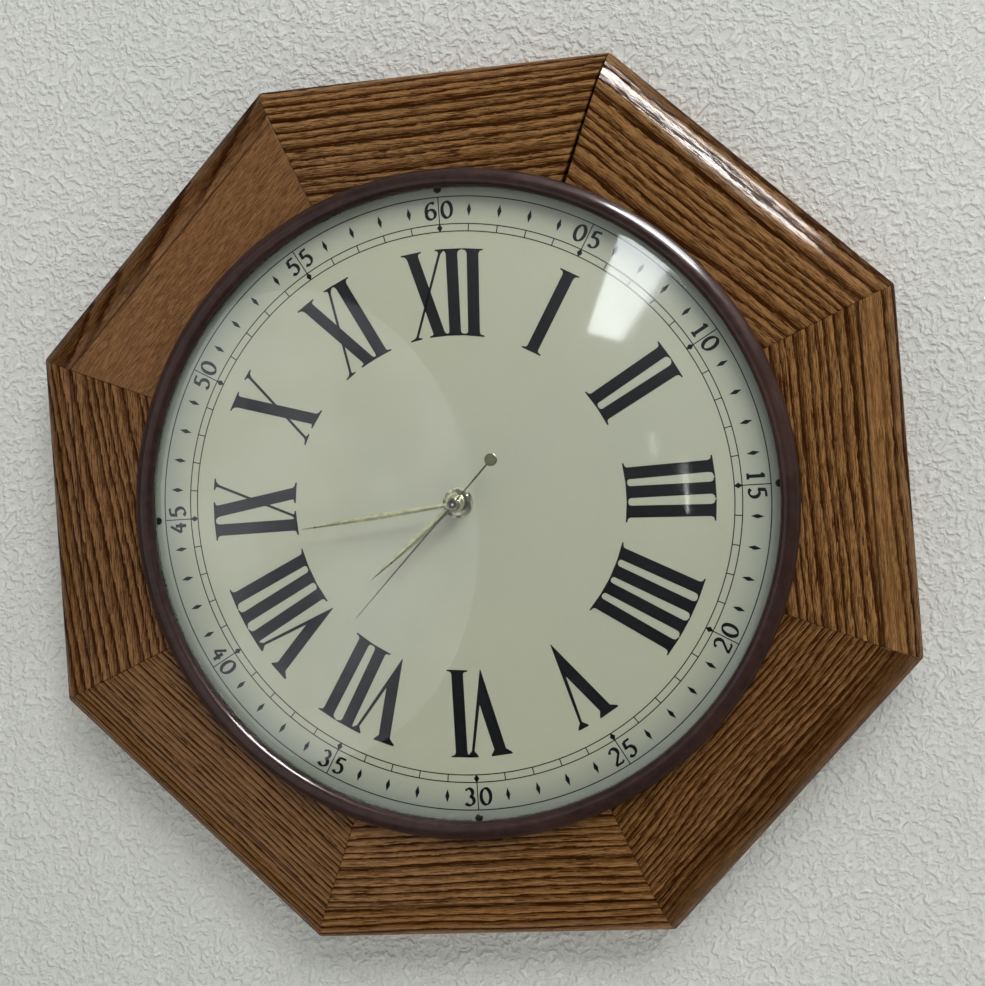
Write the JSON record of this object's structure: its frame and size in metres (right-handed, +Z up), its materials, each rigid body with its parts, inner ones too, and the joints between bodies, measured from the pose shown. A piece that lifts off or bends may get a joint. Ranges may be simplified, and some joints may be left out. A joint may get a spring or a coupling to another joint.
{
  "type": "octagonal wall clock",
  "caption": "Octagonal mitred oak wall clock with round bezel, domed glass, Roman-numeral dial, three hands and a battery quartz movement behind the dial.",
  "frame": {"origin": "where the hand axis meets the wall plane, which the four rear bumpers touch", "axes": "+Z up, +X to the right as seen from the front, the dial faces -Y and the wall is at y = 0"},
  "size_m": [0.4064, 0.0695, 0.4064],
  "materials": {
    "oak": "satin varnish over dark stain, open grain",
    "beech": "plain",
    "hardboard": "plain",
    "plain_steel": "plain",
    "dark_steel": "blackened",
    "dial_enamel": "satin cream",
    "bezel_brown": "gloss dark brown",
    "clear_glass": "clear",
    "black_rubber": "matt",
    "zinc_steel": "zinc plated",
    "clear_rubber": "soft",
    "black_plastic": "moulded",
    "white_plastic": "natural acetal",
    "turned_brass": "turned",
    "magnet_steel": "sintered",
    "soft_iron": "stamped",
    "copper_wire": "lacquered copper",
    "board_laminate": "laminate",
    "black_resin": "gloss",
    "crystal_can": "bright",
    "contact_steel": "nickel plated",
    "battery_jacket": null,
    "hand_brass": "polished"
  },
  "bodies": {
    "clock_body": {"oak_segment_top": "oak", "oak_segment_top_right": "oak", "oak_segment_right": "oak", "oak_segment_bottom_right": "oak", "oak_segment_bottom": "oak", "oak_segment_bottom_left": "oak", "oak_segment_left": "oak", "oak_segment_top_left": "oak", "mitre_biscuits": "beech", "dial_backing_board": "hardboard", "board_brads": "plain_steel", "dial": "dial_enamel", "dial_nails": "dark_steel", "bezel": "bezel_brown", "bezel_screws": "plain_steel", "glass": "clear_glass", "glass_gasket": "black_rubber", "glass_retaining_ring": "plain_steel", "keyhole_hanger": "zinc_steel", "hanger_screws": "plain_steel", "wall_bumpers": "clear_rubber", "movement_case": "black_plastic", "movement_rear_cover": "black_plastic", "mid_plate": "white_plastic", "cover_screws": "plain_steel", "threaded_bush": "turned_brass", "rubber_washer": "black_rubber", "bush_washer": "turned_brass", "hex_nut": "turned_brass", "stator": "soft_iron", "coil_core": "soft_iron", "coil_spool": "white_plastic", "coil_winding": "copper_wire", "circuit_board": "board_laminate", "driver_chip": "black_resin", "quartz_crystal": "crystal_can", "contact_negative": "contact_steel", "contact_positive": "contact_steel"},
    "minute_hand_train": {"minute_hand": "hand_brass", "minute_hand_nut": "hand_brass", "minute_cannon": "turned_brass"},
    "hour_hand_train": {"hour_hand": "hand_brass", "hour_wheel": "white_plastic"},
    "motion_wheel_body": {"motion_wheel": "white_plastic"},
    "setting_knob_body": {"setting_knob": "black_plastic"},
    "second_hand_train": {"second_hand": "hand_brass", "seconds_wheel": "white_plastic"},
    "centre_wheel_body": {"centre_wheel": "white_plastic", "clutch_washer": "plain_steel"},
    "third_wheel_body": {"third_wheel": "white_plastic"},
    "intermediate_wheel_body": {"intermediate_wheel": "white_plastic"},
    "rotor_body": {"rotor": "magnet_steel"},
    "battery_body": {"battery": "battery_jacket"}
  },
  "joints": [
    {"name": "minute_hand_turn", "type": "hinge", "parent": "clock_body", "child": "minute_hand_train", "pos_m": [0, -0.045, 0], "axis": [0, 1, 0], "continuous": true},
    {"name": "hour_hand_turn", "type": "hinge", "parent": "clock_body", "child": "hour_hand_train", "pos_m": [0, -0.042, 0], "axis": [0, 1, 0], "continuous": true},
    {"name": "motion_wheel_turn", "type": "hinge", "parent": "clock_body", "child": "motion_wheel_body", "pos_m": [0.00886, -0.0334, -0.00156], "axis": [0, 1, 0], "continuous": true},
    {"name": "setting_knob_turn", "type": "hinge", "parent": "clock_body", "child": "setting_knob_body", "pos_m": [0.01732, -0.024, -0.00464], "axis": [0, 1, 0], "continuous": true},
    {"name": "second_hand_turn", "type": "hinge", "parent": "clock_body", "child": "second_hand_train", "pos_m": [0, -0.04, 0], "axis": [0, 1, 0], "continuous": true},
    {"name": "centre_wheel_turn", "type": "hinge", "parent": "clock_body", "child": "centre_wheel_body", "pos_m": [0, -0.0317, 0], "axis": [0, 1, 0], "continuous": true},
    {"name": "third_wheel_turn", "type": "hinge", "parent": "clock_body", "child": "third_wheel_body", "pos_m": [-0.00935, -0.0306, 0.0054], "axis": [0, 1, 0], "continuous": true},
    {"name": "intermediate_wheel_turn", "type": "hinge", "parent": "clock_body", "child": "intermediate_wheel_body", "pos_m": [0.00482, -0.027, 0.00688], "axis": [0, 1, 0], "continuous": true},
    {"name": "rotor_turn", "type": "hinge", "parent": "clock_body", "child": "rotor_body", "pos_m": [0.01158, -0.0246, 0.00934], "axis": [0, 1, 0], "continuous": true},
    {"name": "battery_slide", "type": "slide", "parent": "clock_body", "child": "battery_body", "axis": [0, 1, 0], "range_m": [0, 0.018]}
  ],
  "couplings": [
    {"joint": "hour_hand_turn", "follows": "minute_hand_turn", "ratio": 0.083333},
    {"joint": "motion_wheel_turn", "follows": "minute_hand_turn", "ratio": -0.33333},
    {"joint": "setting_knob_turn", "follows": "minute_hand_turn", "ratio": 1},
    {"joint": "centre_wheel_turn", "follows": "second_hand_turn", "ratio": 0.016667},
    {"joint": "third_wheel_turn", "follows": "second_hand_turn", "ratio": -0.125},
    {"joint": "intermediate_wheel_turn", "follows": "second_hand_turn", "ratio": -6},
    {"joint": "rotor_turn", "follows": "second_hand_turn", "ratio": 30}
  ]
}
